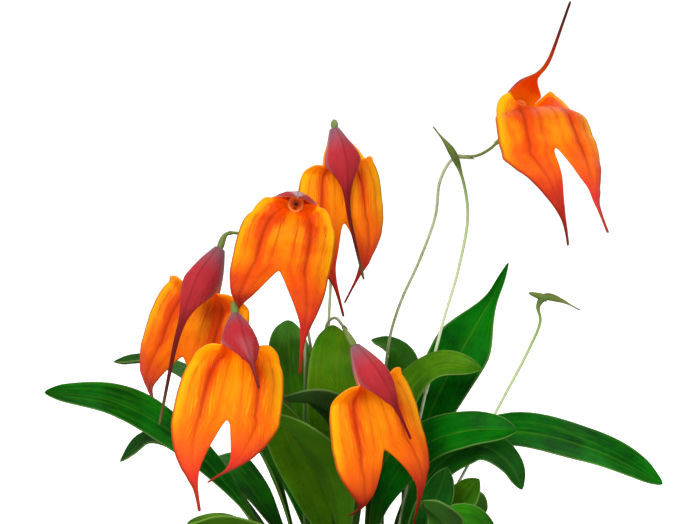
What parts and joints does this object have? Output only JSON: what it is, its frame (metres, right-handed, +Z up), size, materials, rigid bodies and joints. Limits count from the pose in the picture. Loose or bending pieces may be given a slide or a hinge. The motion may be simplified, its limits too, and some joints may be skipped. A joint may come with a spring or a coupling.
{
  "type": "masdevallia orchid",
  "caption": "Potted masdevallia orchid: a tuft of leathery leaves and orange three-lobed blooms with long tails on thin scapes.",
  "frame": {"origin": "centre of the pot's flat underside", "axes": "+Z up the plant, -Y towards the side that most blooms face, +X towards the tall bloom with the upright tail"},
  "size_m": [0.2789, 0.2231, 0.3686],
  "materials": {
    "clay": "unglazed clay",
    "bark": "rough potting bark",
    "leaf": "leathery, half glossy green",
    "scape_green": "smooth pale green stem",
    "bud_green": "smooth olive green stem and bud",
    "lateral_sepal": "soft orange sepal with red veins",
    "dorsal_sepal": "soft crimson sepal back",
    "column": "pale waxy column and lip"
  },
  "bodies": {
    "root": {"pot": "clay", "bark": "bark", "leaf_01": "leaf", "leaf_02": "leaf", "leaf_03": "leaf", "leaf_04": "leaf", "leaf_05": "leaf", "leaf_06": "leaf", "leaf_07": "leaf", "leaf_08": "leaf", "leaf_09": "leaf", "leaf_10": "leaf", "leaf_11": "leaf", "leaf_12": "leaf", "leaf_13": "leaf", "leaf_14": "leaf", "leaf_15": "leaf", "leaf_16": "leaf", "leaf_17": "leaf", "leaf_18": "leaf", "leaf_19": "leaf", "leaf_20": "leaf", "leaf_21": "leaf", "leaf_22": "leaf", "leaf_23": "leaf", "leaf_24": "leaf", "leaf_25": "leaf", "leaf_26": "leaf", "leaf_27": "leaf", "leaf_28": "leaf", "leaf_29": "leaf", "scape_1": "scape_green", "bloom_1_lateral_sepals": "lateral_sepal", "bloom_1_dorsal_sepal": "dorsal_sepal", "bloom_1_column": "column", "scape_2": "scape_green", "bloom_2_lateral_sepals": "lateral_sepal", "bloom_2_dorsal_sepal": "dorsal_sepal", "bloom_2_column": "column", "scape_3": "scape_green", "bloom_3_lateral_sepals": "lateral_sepal", "bloom_3_dorsal_sepal": "dorsal_sepal", "bloom_3_column": "column", "scape_4": "scape_green", "bloom_4_lateral_sepals": "lateral_sepal", "bloom_4_dorsal_sepal": "dorsal_sepal", "bloom_4_column": "column", "scape_5": "scape_green", "bloom_5_lateral_sepals": "lateral_sepal", "bloom_5_dorsal_sepal": "dorsal_sepal", "bloom_5_column": "column", "scape_6": "scape_green", "bloom_6_lateral_sepals": "lateral_sepal", "bloom_6_dorsal_sepal": "dorsal_sepal", "bloom_6_column": "column", "bud_scape_1": "bud_green", "bud_scape_2": "bud_green"}
  },
  "joints": []
}
